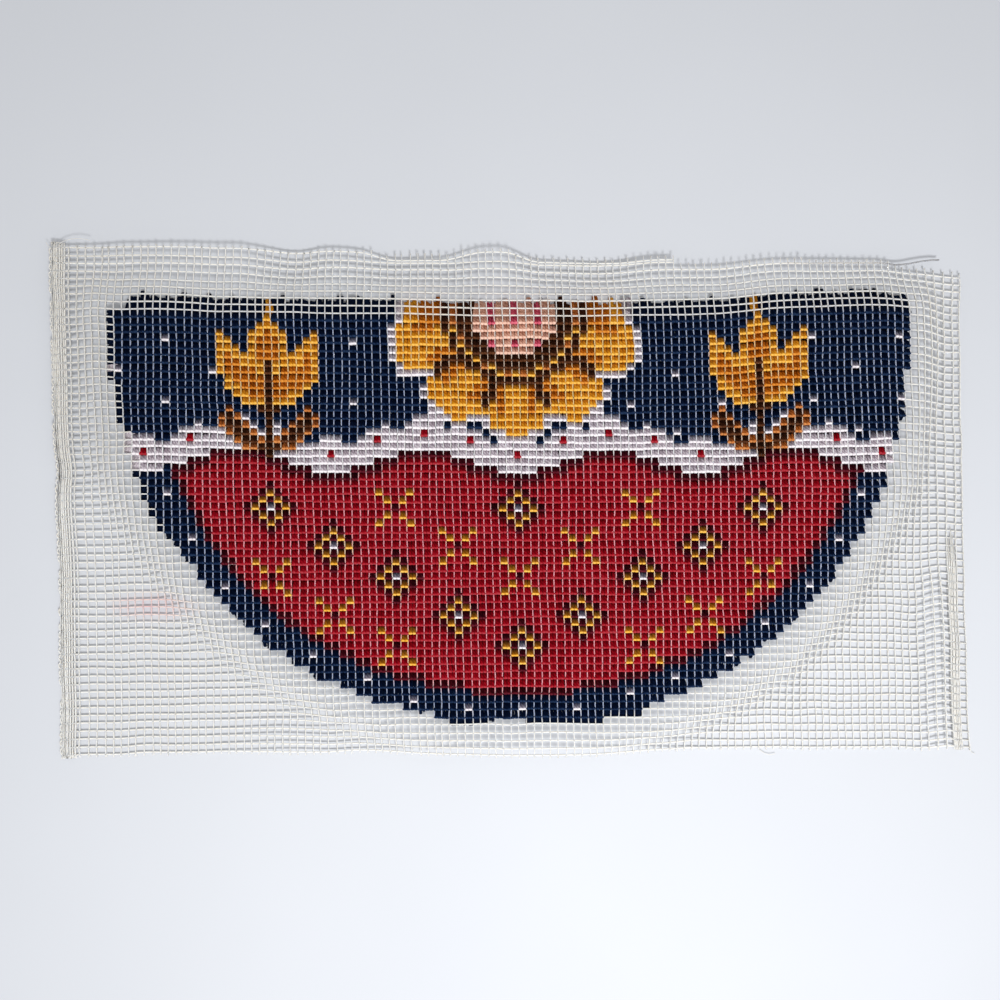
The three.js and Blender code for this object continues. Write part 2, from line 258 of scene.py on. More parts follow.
# ------------------------------------------------------------------ tubes into meshes
class Threads:
    """Collects closed tubes and makes one mesh of them, with a UV along and around each
    tube (in millimetres and turns) and a 'tone' of its own for each tube. 'tint' is a
    colour and its share for each ring: on canvas threads the yarn fuzz with painted shade
    and painted coloured bounce light from the knots, on yarn the painted shade from darker
    knots round it and the painted crown highlight and dive shade."""

    def __init__(self):
        self.points, self.tones, self.loops, self.sizes, self.uvs, self.base = [], [], [], [], [], 0
        self.tints = []

    def add(self, centres, side, r_side, r_up, sides, tone, start_turn=0.0, along_from=None, tint=None):
        n, k = centres.shape[:2]
        if tint is None:
            tint = np.zeros((n, k, 4))
        self.tints.append(np.repeat(tint.reshape(n * k, 4), sides, axis=0))
        step = np.gradient(centres, axis=1)
        t = unit(step)
        side = unit(side - (side * t).sum(-1, keepdims=True) * t)
        up = np.cross(t, side)
        angle = 2 * np.pi * (np.arange(sides) / sides + start_turn)
        ring = (centres[:, :, None, :]
                + side[:, :, None, :] * (np.cos(angle)[None, None, :] * r_side[:, :, None])[..., None]
                + up[:, :, None, :] * (np.sin(angle)[None, None, :] * r_up[:, :, None])[..., None])
        self.points.append(ring.reshape(-1, 3))
        self.tones.append(np.repeat(np.broadcast_to(tone, (n,)), k * sides))
        length = np.concatenate([np.zeros((n, 1)), np.cumsum(np.linalg.norm(np.diff(centres, axis=1), axis=-1), axis=1)], 1)
        if along_from is not None:
            length = length + along_from[:, None]
        ids = self.base + np.arange(n * k * sides).reshape(n, k, sides)
        a = ids[:, :-1, :]
        b = np.roll(ids, -1, axis=2)[:, :-1, :]
        c = np.roll(ids, -1, axis=2)[:, 1:, :]
        d = ids[:, 1:, :]
        quads = np.stack([a, b, c, d], -1).reshape(-1, 4)
        around0 = (np.arange(sides) / sides)[None, None, :] + np.zeros((n, k - 1, sides))
        around1 = around0 + 1 / sides
        l0 = np.broadcast_to(length[:, :-1, None], around0.shape)
        l1 = np.broadcast_to(length[:, 1:, None], around0.shape)
        uv = np.stack([np.stack([l0, around0], -1), np.stack([l0, around1], -1),
                       np.stack([l1, around1], -1), np.stack([l1, around0], -1)], -2)
        self.loops.append(quads.ravel())
        self.sizes.append(np.full(len(quads), 4))
        self.uvs.append(uv.reshape(-1, 2))
        for row, ring_ids, at in ((0, ids[:, 0, ::-1], length[:, 0]), (1, ids[:, -1, :], length[:, -1])):
            self.loops.append(ring_ids.ravel())
            self.sizes.append(np.full(n, sides))
            spin = np.cos(angle[::-1] if row == 0 else angle) * 0.4
            self.uvs.append(np.stack([at[:, None] + spin[None, :], np.broadcast_to(0.5 + spin[None, :] * 0.5, (n, sides))], -1).reshape(-1, 2))
        self.base += n * k * sides

    def triangles(self):
        return int(sum((s - 2).sum() for s in self.sizes))

    def mesh(self, name, material):
        points = np.concatenate(self.points) / 1000
        loops = np.concatenate(self.loops).astype(np.int32)
        sizes = np.concatenate(self.sizes)
        m = bpy.data.meshes.new(name)
        m.vertices.add(len(points))
        m.vertices.foreach_set("co", points.astype(np.float32).ravel())
        m.loops.add(len(loops))
        m.loops.foreach_set("vertex_index", loops)
        m.polygons.add(len(sizes))
        m.polygons.foreach_set("loop_start", np.concatenate([[0], np.cumsum(sizes)[:-1]]).astype(np.int32))
        m.update(calc_edges=True)
        m.polygons.foreach_set("use_smooth", np.ones(len(sizes), bool))
        uv = m.uv_layers.new(name="thread")
        uv.data.foreach_set("uv", np.concatenate(self.uvs).astype(np.float32).ravel())
        tone = m.attributes.new("tone", "FLOAT", "POINT")
        tone.data.foreach_set("value", np.concatenate(self.tones).astype(np.float32))
        tint = m.attributes.new("tint", "FLOAT_COLOR", "POINT")
        tint.data.foreach_set("color", np.concatenate(self.tints).astype(np.float32).ravel())
        m.materials.append(material)
        o = bpy.data.objects.new(name, m)
        bpy.context.scene.collection.objects.link(o)
        return o


# ------------------------------------------------------------------ materials
def srgb(r, g, b):
    def lin(v):
        v = v / 255
        return v / 12.92 if v <= 0.04045 else ((v + 0.055) / 1.055) ** 2.4

    return (lin(r), lin(g), lin(b), 1.0)


def new_material(name):
    m = bpy.data.materials.new(name)
    m.use_nodes = True
    tree = m.node_tree
    shader = next(n for n in tree.nodes if n.type == "BSDF_PRINCIPLED")
    return m, tree, shader


def node(tree, kind, **values):
    n = tree.nodes.new(kind)
    for key, value in values.items():
        if key in n.inputs:
            n.inputs[key].default_value = value
        else:
            setattr(n, key, value)
    return n


def ramp(tree, stops):
    n = tree.nodes.new("ShaderNodeValToRGB")
    e = n.color_ramp.elements
    while len(e) > 1:
        e.remove(e[-1])
    e[0].position, e[0].color = stops[0]
    for position, colour in stops[1:]:
        x = e.new(position)
        x.color = colour
    return n


def math_node(tree, operation, a, b=None, clamp=False):
    n = tree.nodes.new("ShaderNodeMath")
    n.operation, n.use_clamp = operation, clamp
    for i, v in enumerate((a, b)):
        if v is None:
            continue
        if isinstance(v, (int, float)):
            n.inputs[i].default_value = v
        else:
            tree.links.new(v, n.inputs[i])
    return n.outputs[0]


def yarn_material(name, colour, deep, light, plies=1.0, sheen=0.25, stain=None):
    """Spun yarn: plies twist round the strand, fibres run along it, and each strand has
    its own tone. deep is the colour between the plies and the painted shade where a strand
    dives, light the fuzz on the crowns and their painted highlight."""
    m, tree, shader = new_material(name)
    link = tree.links.new
    tone = node(tree, "ShaderNodeAttribute", attribute_name="tone").outputs["Fac"]
    uv = node(tree, "ShaderNodeUVMap", uv_map="thread").outputs["UV"]
    split = tree.nodes.new("ShaderNodeSeparateXYZ")
    link(uv, split.inputs[0])
    # ply twist: stripes that wind round the strand
    turn = math_node(tree, "ADD", math_node(tree, "MULTIPLY", split.outputs[0], 0.30 * plies),
                     math_node(tree, "MULTIPLY", split.outputs[1], 3.0))
    wave = math_node(tree, "SINE", math_node(tree, "MULTIPLY", turn, 2 * math.pi))
    ply = math_node(tree, "ADD", math_node(tree, "MULTIPLY", wave, 0.5), 0.5)
    where = tree.nodes.new("ShaderNodeTexCoord").outputs["Object"]
    fibres = node(tree, "ShaderNodeTexNoise", Scale=1400.0, Detail=3.0, Roughness=0.65)
    link(where, fibres.inputs["Vector"])
    lumps = node(tree, "ShaderNodeTexNoise", Scale=330.0, Detail=2.0, Roughness=0.5)
    link(where, lumps.inputs["Vector"])
    value = math_node(tree, "ADD", math_node(tree, "MULTIPLY", fibres.outputs["Fac"], 0.50),
                      math_node(tree, "MULTIPLY", ply, 0.22))
    value = math_node(tree, "ADD", value, math_node(tree, "MULTIPLY", lumps.outputs["Fac"], 0.26))
    value = math_node(tree, "ADD", value, math_node(tree, "MULTIPLY", tone, 0.26))
    # where the yarn bends over the weft the plies spread; its crown there gets a painted highlight toward the light
    # colour, and the parts that dive into the pile get painted shade toward the deep colour
    crown_light_and_shade = node(tree, "ShaderNodeAttribute", attribute_name="tint").outputs["Alpha"]
    value = math_node(tree, "ADD", value, math_node(tree, "MULTIPLY", crown_light_and_shade, 0.34))
    value = math_node(tree, "SUBTRACT", value, 0.26, clamp=True)
    colours = ramp(tree, [(0.10, deep), (0.40, colour), (0.80, light)])
    link(value, colours.inputs[0])
    # painted shade cast by darker knots round it, multiplied into the colour
    shade = tree.nodes.new("ShaderNodeMix")
    shade.data_type, shade.blend_type = "RGBA", "MULTIPLY"
    shade.inputs["Factor"].default_value = 1.0
    link(colours.outputs[0], shade.inputs[6])
    link(node(tree, "ShaderNodeAttribute", attribute_name="tint").outputs["Color"], shade.inputs[7])
    link(shade.outputs[2], shader.inputs["Base Color"])
    rough = math_node(tree, "ADD", math_node(tree, "MULTIPLY", fibres.outputs["Fac"], 0.16), 0.78)
    link(rough, shader.inputs["Roughness"])
    shader.inputs["Specular IOR Level"].default_value = 0.03
    shader.inputs["Sheen Weight"].default_value = sheen
    shader.inputs["Sheen Roughness"].default_value = 0.45
    shader.inputs["Sheen Tint"].default_value = light
    relief = math_node(tree, "ADD", math_node(tree, "MULTIPLY", ply, 0.7), math_node(tree, "MULTIPLY", fibres.outputs["Fac"], 0.9))
    bump = node(tree, "ShaderNodeBump", Strength=0.55, Distance=0.0005)
    link(relief, bump.inputs["Height"])
    link(bump.outputs[0], shader.inputs["Normal"])
    return m


def canvas_material():
    """Sized cotton rug canvas: off-white twisted threads, a little glossy with size,
    with faint soiling, and a pink mark that has bled into the lower left margin."""
    m, tree, shader = new_material("canvas_cotton")
    link = tree.links.new
    tone = node(tree, "ShaderNodeAttribute", attribute_name="tone").outputs["Fac"]
    uv = node(tree, "ShaderNodeUVMap", uv_map="thread").outputs["UV"]
    split = tree.nodes.new("ShaderNodeSeparateXYZ")
    link(uv, split.inputs[0])
    turn = math_node(tree, "ADD", math_node(tree, "MULTIPLY", split.outputs[0], 0.9),
                     math_node(tree, "MULTIPLY", split.outputs[1], 2.0))
    wave = math_node(tree, "SINE", math_node(tree, "MULTIPLY", turn, 2 * math.pi))
    ply = math_node(tree, "ADD", math_node(tree, "MULTIPLY", wave, 0.5), 0.5)
    where = tree.nodes.new("ShaderNodeTexCoord").outputs["Object"]
    fibres = node(tree, "ShaderNodeTexNoise", Scale=2600.0, Detail=3.0, Roughness=0.6)
    link(where, fibres.inputs["Vector"])
    soil = node(tree, "ShaderNodeTexNoise", Scale=9.0, Detail=4.0, Roughness=0.6)
    link(where, soil.inputs["Vector"])
    value = math_node(tree, "ADD", math_node(tree, "MULTIPLY", fibres.outputs["Fac"], 0.45),
                      math_node(tree, "MULTIPLY", ply, 0.25))
    value = math_node(tree, "ADD", value, math_node(tree, "MULTIPLY", tone, 0.25))
    value = math_node(tree, "ADD", value, math_node(tree, "MULTIPLY", soil.outputs["Fac"], 0.3))
    value = math_node(tree, "SUBTRACT", value, 0.14, clamp=True)
    colours = ramp(tree, [(0.1, srgb(229, 224, 213)), (0.5, srgb(248, 243, 234)), (0.9, srgb(254, 251, 246))])
    link(value, colours.inputs[0])
    # the pink mark
    offset = node(tree, "ShaderNodeVectorMath", operation="SUBTRACT")
    link(where, offset.inputs[0])
    spot, _, _, _ = cloth_frame(np.array([11.5]), np.array([47.0]))
    offset.inputs[1].default_value = (spot[0, 0] / 1000, spot[0, 1] / 1000, 0)
    parts = tree.nodes.new("ShaderNodeSeparateXYZ")
    link(offset.outputs[0], parts.inputs[0])
    across = math_node(tree, "DIVIDE", parts.outputs[0], 0.050)
    down = math_node(tree, "DIVIDE", parts.outputs[1], 0.015)
    far = math_node(tree, "ADD", math_node(tree, "MULTIPLY", across, across), math_node(tree, "MULTIPLY", down, down))
    blotch = node(tree, "ShaderNodeTexNoise", Scale=55.0, Detail=3.0, Roughness=0.7)
    link(where, blotch.inputs["Vector"])
    edge = math_node(tree, "SUBTRACT", 1.0, far, clamp=True)
    mark = math_node(tree, "MULTIPLY", edge, math_node(tree, "MULTIPLY", blotch.outputs["Fac"], 1.0), clamp=True)
    mixer = tree.nodes.new("ShaderNodeMix")
    mixer.data_type = "RGBA"
    link(mark, mixer.inputs["Factor"])
    link(colours.outputs[0], mixer.inputs[6])
    mixer.inputs[7].default_value = srgb(236, 150, 160)
    # yarn fuzz, with painted shade and painted coloured bounce light from the knots beside a thread, colours it
    fuzz_shade_node = node(tree, "ShaderNodeAttribute", attribute_name="tint")
    blend = tree.nodes.new("ShaderNodeMix")
    blend.data_type = "RGBA"
    link(fuzz_shade_node.outputs["Alpha"], blend.inputs["Factor"])
    link(mixer.outputs[2], blend.inputs[6])
    link(fuzz_shade_node.outputs["Color"], blend.inputs[7])
    link(blend.outputs[2], shader.inputs["Base Color"])
    rough = math_node(tree, "ADD", math_node(tree, "MULTIPLY", fibres.outputs["Fac"], 0.25), 0.55)
    link(rough, shader.inputs["Roughness"])
    shader.inputs["Specular IOR Level"].default_value = 0.30
    shader.inputs["Sheen Weight"].default_value = 0.12
    # cotton thread lets a good part of the light through
    shader.inputs["Subsurface Weight"].default_value = 0.95
    shader.inputs["Subsurface Radius"].default_value = (1.0, 0.93, 0.84)
    shader.inputs["Subsurface Scale"].default_value = 0.0022
    relief = math_node(tree, "ADD", math_node(tree, "MULTIPLY", ply, 0.8), math_node(tree, "MULTIPLY", fibres.outputs["Fac"], 0.6))
    bump = node(tree, "ShaderNodeBump", Strength=0.5, Distance=0.00025)
    link(relief, bump.inputs["Height"])
    link(bump.outputs[0], shader.inputs["Normal"])
    return m


# ------------------------------------------------------------------ the chart
NAVY, RED, WHITE, GOLD, ORANGE, MAROON, BROWN, TAN, PEACH, PINK = range(10)
FIRST_ROW, LAST_ROW = 9, 61


def knot_limit(c, r):
    """How far inside the knotted half-moon a cell is: below 1 inside."""
    n = np.where(c < KNOT_C, KNOT_N[0], KNOT_N[1])
    return lambda inset: ((np.abs(c - KNOT_C) / (KNOT_W - inset)) ** n
                          + (np.maximum(r - KNOT_R, 0) / (KNOT_D - inset)) ** n)


BLOOM = [
    "......g......",
    ".....ggg.....",
    "g...ggogg...g",
    "gg..gooog..gg",
    "ggg.gooog.ggg",
    "gogggooogggog",
    "googggbggggog",
    "goooogbgoooog",
    ".goooobooooog",
    ".ggoooboooog.",
    "..ggooboogg..",
    "...gggbggg...",
    ".t...bbb...t.",
    "tbt...b...tbt",
    "tbbt..b..tbbt",
    ".tbbt.b.tbbt.",
    "..tbbtbtbbt..",
    "...ttbbbtt...",
    "......b......",
]
LOZENGE = ["...m...", "..mgm..", ".mgmgm.", "mgmwmgm", ".mgmgm.", "..mgm..", "...m..."]
SPRIG = ["g...g", ".g.g.", "..m..", ".g.g.", "g...g"]
KEY = {"g": GOLD, "o": ORANGE, "b": BROWN, "t": TAN, "m": MAROON, "r": RED, "w": WHITE}


def chart():
    """The colour of each knot: rows from the straight side down, columns left to right."""
    n = LAST_ROW - FIRST_ROW + 1
    y, x = np.mgrid[0:n, -59:60].astype(float)
    a = np.full((n, COLUMNS), NAVY)

    def stamp(rows, cx, cy):
        for j, line in enumerate(rows):
            for k, letter in enumerate(line):
                jj, kk = cy - len(rows) // 2 + j, 59 + cx - len(line) // 2 + k
                if letter in KEY and 0 <= jj < n and 0 <= kk < COLUMNS:
                    a[jj, kk] = KEY[letter]

    # ground with seed stitches, half drop
    drop = np.where(np.floor((x + 60) / 6) % 2 == 0, 0, 4)
    a[((x + 60) % 6 == 3) & ((y + drop) % 8 == 3)] = WHITE
    # scalloped trim over a plain field
    lower = 18.8 + 1.6 * np.cos(2 * np.pi * x / 24)
    upper = lower - 3.2 - 1.5 * np.abs(np.cos(np.pi * x / 6))
    a[y > lower] = RED
    a[(y > lower) & (y <= lower + 1.3)] = MAROON
    trim = (y <= lower) & (y > upper)
    a[trim] = WHITE
    a[(x % 6 == 0) & (np.abs(y - np.round(lower - 2.4)) < 0.5) & trim] = RED
    # half rosette on the straight side
    rho, theta = np.hypot(x, y + 1), np.arctan2(y + 1, x)
    lobe = np.abs(np.sin(5 * theta))
    edge = 12.8 + 3.6 * np.sqrt(lobe)
    petal = rho < edge
    a[(rho < edge + 1.1) & ~petal] = WHITE
    a[petal] = GOLD
    a[petal & (rho < edge - 2.6) & (lobe > 0.25) & (lobe < 0.8)] = ORANGE
    a[petal & (lobe < 0.3) & (rho < edge - 0.8)] = BROWN
    a[rho < 9.4] = BROWN
    cord = (rho < 8.4) & (rho >= 7.4)
    a[cord] = TAN
    a[cord & (np.floor(theta * 9 + 0.5) % 2 == 0)] = GOLD
    a[rho < 6.4] = BROWN
    a[rho < 5.6] = PEACH
    a[(rho < 5.6) & ((x + y) % 3 == 0) & ((x - y) % 3 == 0)] = PINK
    for cx in (-32, 32):
        stamp(BLOOM, cx, 9)
    # small repeat, half drop
    for j in range(-6, 7):
        odd = j % 2
        for k in range(5):
            cx, cy = 8 * j, (30 if odd else 25) + 9 * k
            inset = 6.0
            f = knot_limit(np.array([cx + 59.5]), np.array([cy + 9.0]))(inset)
            if f[0] < 1:
                stamp(LOZENGE if (k + (abs(j) - odd) // 2 + odd) % 2 == 0 else SPRIG, cx, cy)

    # dark border round the curve
    curve = knot_limit(x + 59.5, y + 9.0)
    a[(curve(4.5) > 1) & (y > lower)] = MAROON
    a[(curve(3.6) > 1) & (y > lower)] = NAVY
    sweep = np.arctan2((y + 0.5) / KNOT_D, x / KNOT_W)
    for t in np.linspace(0.47, np.pi - 0.47, 17):
        near = np.where(y > lower + 2, np.abs(sweep - t) * 2 + np.abs(curve(1.9) - 1), 9)
        a[np.unravel_index(np.argmin(near), near.shape)] = WHITE
    return a


COLOUR_OF = chart()


knot_c, knot_r = np.meshgrid(np.arange(COLUMNS) + 0.5, np.arange(FIRST_ROW, LAST_ROW + 1).astype(float))
tied = knot_limit(knot_c, knot_r)(0.0) < 1
starts = np.argmax(tied, axis=1)
ends = COLUMNS - np.argmax(tied[:, ::-1], axis=1)
from_left = knot_c - starts[:, None]
from_right = ends[:, None] - knot_c
last_row = FIRST_ROW + len(tied) - 1 - np.argmax(tied[::-1], axis=0)
# fuzz colours in the same order as the yarns, and what colours the canvas in each cell: partly real yarn fuzz, partly
# painted shade and painted coloured bounce light from the knots
FUZZ_AND_SHADE_COLOURS = np.array([
    (0.12, 0.20, 0.43), (1.00, 0.10, 0.19), (0.92, 0.90, 0.94), (0.98, 0.50, 0.08), (0.82, 0.36, 0.06),
    (0.42, 0.16, 0.19), (0.34, 0.20, 0.13), (0.62, 0.34, 0.16), (0.90, 0.68, 0.58), (0.82, 0.26, 0.36),
])
RUB_AND_SHADE = np.zeros((ROWS + 2, COLUMNS, 4))
RUB_AND_SHADE[FIRST_ROW:LAST_ROW + 1, :, :3] = FUZZ_AND_SHADE_COLOURS[COLOUR_OF] * tied[..., None]
RUB_AND_SHADE[FIRST_ROW:LAST_ROW + 1, :, 3] = tied
# painted shade: the threads over the pile tips just past the first row of knots are painted toward that row's colour
for above, some in ((1, 0.36), (2, 0.30)):
    RUB_AND_SHADE[FIRST_ROW - above, :, :3] = FUZZ_AND_SHADE_COLOURS[COLOUR_OF[0]] * tied[0][:, None] * some
    RUB_AND_SHADE[FIRST_ROW - above, :, 3] = tied[0] * some


def fuzz_and_painted_shade(c, r, share=0.76):
    """Colour and share of the yarn fuzz, with painted shade and painted coloured bounce light, on a canvas thread at
    column c and row r.
    """
    fuzz = fuzz_and_shade_at(c, r, share)
    # the upper left margin is painted a little greyer
    grey = 0.26 * smooth((15 - c) / 8) * smooth((34 - r) / 8) * (1 - np.clip(fuzz[:, 3] * 4, 0, 1))
    fuzz[:, :3] = np.where(grey[:, None] > fuzz[:, 3:], np.array([0.36, 0.35, 0.33]), fuzz[:, :3])
    fuzz[:, 3] = np.maximum(fuzz[:, 3], grey)
    return fuzz


def fuzz_and_shade_at(c, r, share):
    x, y = np.clip(c - 0.5, 0, COLUMNS - 1.001), np.clip(r + 0.35, 0, ROWS + 0.99)
    i, j = x.astype(int), np.round(y).astype(int)
    t = (x - i)[..., None]
    both = RUB_AND_SHADE[j, i] * (1 - t) + RUB_AND_SHADE[j, i + 1] * t
    return np.concatenate([both[..., :3] / np.maximum(both[..., 3:], 1e-6), both[..., 3:] * share], -1)


# ------------------------------------------------------------------ canvas threads
# half widths of the flattened threads, to the corners of a four-sided section
WEFT_SIDE, WEFT_UP = 0.76, 0.78
WARP_SIDE, WARP_UP = 0.50, 0.66
WARP_Z = 0.42
TWIST = 0.11
canvas = Threads()


def weft(c, r, z=None, radius=1.0, sides=4, tone=None, tint=None):
    """One weft along the given columns and rows; z lifts it off the mid-plane."""
    p, x, y, n = cloth_frame(c, r)
    lift = np.zeros_like(c) if z is None else z
    p = p + n * lift[:, None]
    wide = WEFT_SIDE * radius * (1 + 0.06 * RNG.normal(0, 1, len(c)))
    canvas.add(p[None], y[None], wide[None], np.full((1, len(c)), WEFT_UP * radius), sides,
               RNG.random() if tone is None else tone, start_turn=0.125,
               tint=(fuzz_and_painted_shade(c, r) if tint is None else tint)[None])


def top_weft_row(c, r):
    """The first wefts have slid on their warps, and the very first ones run together."""
    if r == 0:
        slid = np.where(c < 50, smooth((c - 39.5) / 4.5) * (1 - smooth((c - 50.0) / 6)), 0)
        slid = np.maximum(slid, smooth((c - 40) / 4.0) * (1 - smooth((c - 49.5) / 6.5)))
        slid = np.maximum(slid, smooth((c - 58.5) / 4.5))
        return slid * 0.80
    return r + 0.0 * c


OFF_ROW = np.zeros((ROWS + 1, COLUMNS + 1))
for r in range(ROWS + 1):
    c = np.arange(0, COLUMNS + 1, dtype=float)
    own = 0.035 * RNG.normal(0, 1)
    wander = np.interp(c, np.linspace(0, COLUMNS, 14), 0.035 * RNG.normal(0, 1, 14))
    OFF_ROW[r] = own + wander
    row = top_weft_row(c, r) + OFF_ROW[r]
    z = None
    if r == 0:
        keep = c <= 81
        c, row = c[keep], row[keep]
    elif r == 1:
        keep = c <= 81
        c, row = c[keep], row[keep] + 0.10
    elif r == 2:
        # runs out past its warps as a loose end
        keep = c <= 111
        c, row = c[keep], row[keep]
        loose = np.array([111.8, 112.7, 113.7, 114.7, 115.7, 116.5])
        c = np.concatenate([c, loose])
        row = np.concatenate([row, row[-1] + np.array([-0.10, -0.30, -0.52, -0.72, -0.95, -1.12])])
        z = np.concatenate([np.zeros(112), np.array([0.6, 1.4, 2.2, 2.8, 3.0, 2.6])])
        # painted darker grey-blue from about column 94 on, most where it runs loose
        tint = np.zeros((len(c), 4))
        tint[:] = (0.20, 0.22, 0.27, 0)
        tint[:, 3] = 0.50 * smooth((c - 94) / 6) + 0.32 * smooth((c - 107.5) / 3)
        weft(c, row, z, tint=tint, radius=1.12)
        continue
    weft(c, row, z)


def warp(c0, r_from, r_to, phase, wide=1.0, twist=TWIST, taper=False):
    """A leno pair: one strand over every weft and one under, changing sides at each."""
    rows = np.arange(math.ceil(r_from), math.floor(r_to) + 1, dtype=float)
    rows = np.concatenate([[r_from], rows[(rows > r_from + 0.2) & (rows < r_to - 0.2)], [r_to]])
    k = len(rows)
    own = 0.03 * RNG.normal(0, 1)
    wander = np.interp(rows, np.linspace(0, ROWS, 10), 0.03 * RNG.normal(0, 1, 10))
    c = c0 + own + wander
    p, x, y, n = cloth_frame(c, rows)
    sign = np.where((np.round(rows).astype(int) + phase) % 2 == 0, 1.0, -1.0)
    sway = twist * sign * (1 + 0.25 * RNG.normal(0, 1, k))
    # the knots press the warps down
    pressed = fuzz_and_shade_at(c, rows, 1.0)[:, 3]
    high = WARP_Z - 0.26 * pressed
    low = -WARP_Z - 0.16 * pressed
    # cut ends fall together
    for j in (0, -1):
        high[j], low[j] = 0.25, -0.25
        sway[j] = 0.0 if taper else 0.45 * sign[j] + 0.3 * RNG.normal()
    over = p + x * sway[:, None] + n * high[:, None]
    under = p - x * sway[:, None] + n * low[:, None]
    radius = 1 + 0.05 * RNG.normal(0, 1, k)
    flat = wide * (1 + 0.18 * pressed)
    if taper:
        radius[:4] *= np.array([0.30, 0.50, 0.70, 0.90])
    tint = fuzz_and_painted_shade(c, rows)[None]
    canvas.add(over[None], x[None], WARP_SIDE * (radius * flat)[None], WARP_UP * radius[None], 4, RNG.random(),
               start_turn=0.125, tint=tint)
    canvas.add(under[None], x[None], 0.44 * (radius * wide)[None], 0.52 * radius[None], 3, RNG.random(),
               start_turn=0.25, tint=tint)


SELVAGE = [0.02, 0.22, 0.42, 0.66, 0.92, 1.20, 1.52]
for j, c0 in enumerate(SELVAGE):
    top = float(edge_row(np.array([c0]))[0]) - 0.35 - 0.25 * RNG.random()
    warp(c0, top, ROWS + 0.38 + 0.14 * RNG.random(), j % 2, wide=1.75 if j < 3 else 1.6, twist=0.10)
for c0 in range(2, COLUMNS):
    raw = float(edge_row(np.array([float(c0)]))[0])
    first = 0.0
    if 42 <= c0 <= 52 or 60 <= c0 <= 81:
        first = 0.75
    elif 82 <= c0 <= 110:
        first = 2.0
    elif c0 > 110:
        first = 3.0
    fringe = (0.12 if c0 < 41 else 0.40) + 0.22 * RNG.random()
    if 44 <= c0 <= 52 or 82 <= c0 <= 98 or c0 > 110:
        fringe += 0.30
    warp(float(c0), first - fringe, ROWS + 0.30 + 0.18 * RNG.random(), c0 % 2)
warp(118.95, 2.30, ROWS + 0.40, 0, wide=0.9, twist=0.12)
# extra warps close together make a soft band near the right edge
for c0, start in ((117.22, 38.0), (117.42, 36.5), (117.61, 37.4), (117.80, 39.0)):
    warp(c0, start, 66.4, int(c0 * 50) % 2, wide=1.35, twist=0.08, taper=True)

# weft turns at the left selvage: each weft comes back as the next one
for r in range(0, ROWS):
    if RNG.random() < 0.1:
        continue
    t = np.linspace(0, 1, 6)
    bulge = -0.10 - 0.22 * np.sin(np.pi * t) * (0.8 + 0.4 * RNG.random())
    weft(bulge, r + t * 0.96 + 0.02, 0.15 * np.sin(2 * np.pi * t), radius=0.95)

# loose ends at the upper left corner and the lower right edge
for start, end, lift, painted_light_of_rings in (
    ((0.4, -0.2), (4.6, -0.9), 2.2, -0.25), ((0.1, 0.1), (-0.7, -0.6), 1.2, 0.1),
    ((91.0, 66.3), (93.2, 66.9), 0.6, 0.2), ((118.9, 66.2), (119.6, 66.8), 0.5, 0.1),
):
    t = np.linspace(0, 1, 9)
    c = start[0] + (end[0] - start[0]) * t
    r = start[1] + (end[1] - start[1]) * t + painted_light_of_rings * np.sin(np.pi * t) * 2
    weft(c, r, lift * np.sin(np.pi * t * 0.8), radius=0.42)

canvas_piece = canvas.mesh("canvas_mesh", canvas_material())
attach(canvas_piece, "root")
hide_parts("canvas")

# ------------------------------------------------------------------ knots and pile
knot_colour, from_left, from_right = COLOUR_OF[tied], from_left[tied], from_right[tied]
is_last = (knot_r == last_row[None, :])[tied]
knot_c, knot_r = knot_c[tied], knot_r[tied]
COUNT = len(knot_c)
# each knot sits on its weft, wherever that has wandered
off_row = OFF_ROW[knot_r.astype(int), knot_c.astype(int)]

# rings of one strand, from where it dives under the weft, over it, down into the pile:
# along the warp (up the cloth), off the mid-plane, half width, half thickness
STRAND = np.array([
    (-0.66, -3.0, 1.66, 0.56),
    (-0.82, -0.8, 1.72, 0.54),
    (-0.58, 0.64, 1.90, 0.54),
    (0.02, 1.00, 2.02, 0.56),
    (0.92, 0.34, 1.92, 0.70),
    (4.25, -1.20, 1.66, 0.90),
])
# painted light along a strand's rings: painted highlight on the crown over the weft, painted shade where it dives under
# the weft and into the pile
PAINTED_CROWN_LIGHT = np.array([-0.5, 0.0, 0.95, 1.00, -0.30, -0.45, -0.7, 0.0])
# how much painted shade from darker knots round it each ring of a strand takes
PAINTED_BODY_SHADE = np.array([1.0, 0.5, 0.0, 0.0, 0.60, 1.0, 1.0, 0.3])
LEAN, HALF_LEAN = 21.0, 8.0

